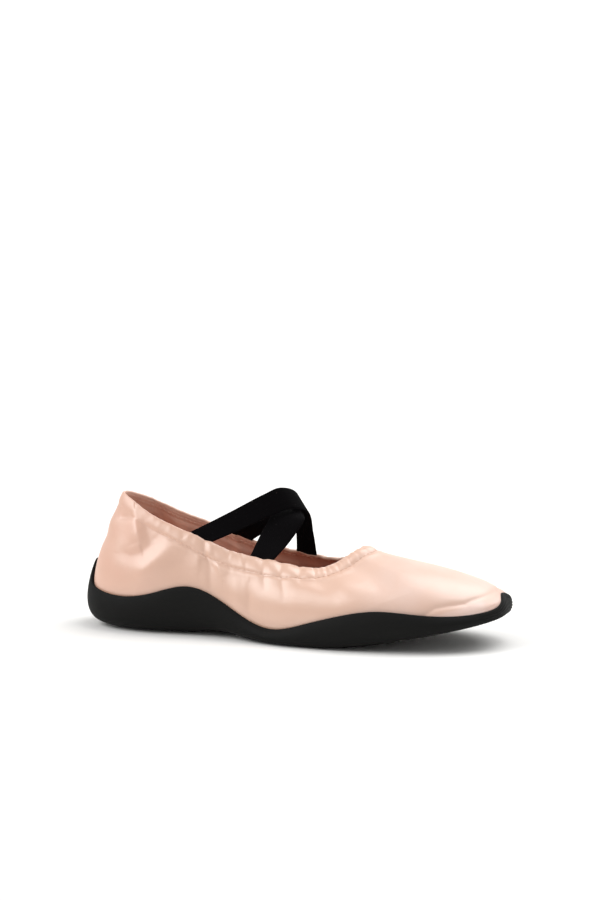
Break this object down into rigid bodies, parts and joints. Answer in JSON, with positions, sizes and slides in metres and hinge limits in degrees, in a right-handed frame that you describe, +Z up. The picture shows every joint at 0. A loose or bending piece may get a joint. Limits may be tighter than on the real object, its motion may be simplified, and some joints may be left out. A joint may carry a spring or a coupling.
{
  "type": "ballet flat",
  "caption": "Slip-on ballet flat for the right foot: gathered satin upper, wave-edged rubber cup sole, footbed and crossing elastic instep straps.",
  "frame": {"origin": "on the floor, under the middle of the shoe's box", "axes": "+X from heel to toe, +Y towards the inner side of the foot, +Z up"},
  "size_m": [0.2508, 0.0914, 0.0837],
  "materials": {
    "sole_rubber": "matte moulded",
    "upper_satin": "satin",
    "footbed_lining": "matte",
    "strap_elastic": "matte woven"
  },
  "bodies": {
    "root": {"cup_sole": "sole_rubber", "upper": "upper_satin", "insole": "footbed_lining", "strap_over": "strap_elastic", "strap_under": "strap_elastic"}
  },
  "joints": []
}
